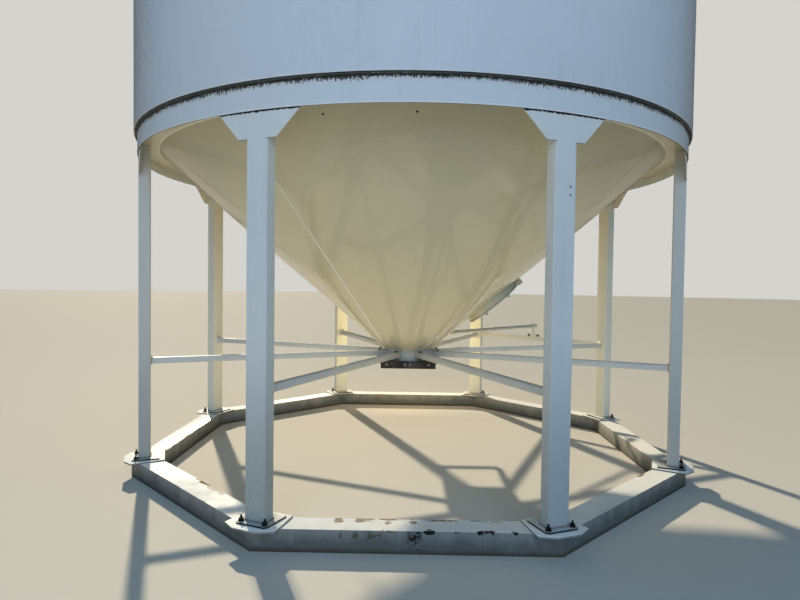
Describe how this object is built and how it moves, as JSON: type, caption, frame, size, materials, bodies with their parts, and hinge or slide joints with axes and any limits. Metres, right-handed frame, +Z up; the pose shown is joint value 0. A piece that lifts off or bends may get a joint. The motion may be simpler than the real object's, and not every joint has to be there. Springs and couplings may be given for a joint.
{
  "type": "hopper-bottom grain silo",
  "caption": "Smooth-wall steel grain silo: round tank with a cone roof over a cone hopper with a slide gate and manhole, on tube legs over an octagonal base ring",
  "frame": {"origin": "on the ground at the centre of the silo, under the outlet", "axes": "+Z up along the silo's axis, -Y toward the pictured front, +X toward the manhole side"},
  "size_m": [4.996, 4.996, 9.1339],
  "materials": {
    "tank_paint": "weathered gloss paint",
    "hopper_paint": "gloss paint",
    "frame_paint": "weathered satin paint",
    "base_paint": "dirty chipped paint",
    "galvanized": "dull zinc",
    "dark_steel": "dark rusted steel"
  },
  "bodies": {
    "silo": {"base_beam_back": "base_paint", "base_beam_back_left": "base_paint", "base_beam_back_right": "base_paint", "base_beam_front": "base_paint", "base_beam_front_left": "base_paint", "base_beam_front_right": "base_paint", "base_beam_left": "base_paint", "base_beam_right": "base_paint", "gate_frame": "dark_steel", "hopper_back": "hopper_paint", "hopper_front": "hopper_paint", "hopper_left": "hopper_paint", "hopper_pipe": "galvanized", "hopper_right": "hopper_paint", "ladder": "galvanized", "leg_back_left": "frame_paint", "leg_back_right": "frame_paint", "leg_front_left": "frame_paint", "leg_front_right": "frame_paint", "leg_left_back": "frame_paint", "leg_left_front": "frame_paint", "leg_right_back": "frame_paint", "leg_right_front": "frame_paint", "manhole_collar": "hopper_paint", "outlet_collar": "frame_paint", "roof_back_left": "tank_paint", "roof_back_right": "tank_paint", "roof_collar": "tank_paint", "roof_front_left": "tank_paint", "roof_front_right": "tank_paint", "roof_lid": "tank_paint", "side_brace": "frame_paint", "skirt_back": "frame_paint", "skirt_front": "frame_paint", "skirt_left": "frame_paint", "skirt_right": "frame_paint", "spoke_back_left": "frame_paint", "spoke_back_right": "frame_paint", "spoke_front_left": "frame_paint", "spoke_front_right": "frame_paint", "spoke_left_back": "frame_paint", "spoke_left_front": "frame_paint", "spoke_right_back": "frame_paint", "spoke_right_front": "frame_paint", "wall_back_left": "tank_paint", "wall_back_right": "tank_paint", "wall_front_left": "tank_paint", "wall_front_right": "tank_paint"},
    "gate": {"gate_slide": "galvanized"},
    "lid": {"manhole_lid": "frame_paint"}
  },
  "joints": [
    {"name": "gate_slide_travel", "type": "slide", "parent": "silo", "child": "gate", "axis": [0, 1, 0], "range_m": [0, 0.43]},
    {"name": "manhole_lid_hinge", "type": "hinge", "parent": "silo", "child": "lid", "pos_m": [1.0612, 0, 1.6429], "axis": [0, -1, 0], "range_deg": [0, 110]}
  ]
}
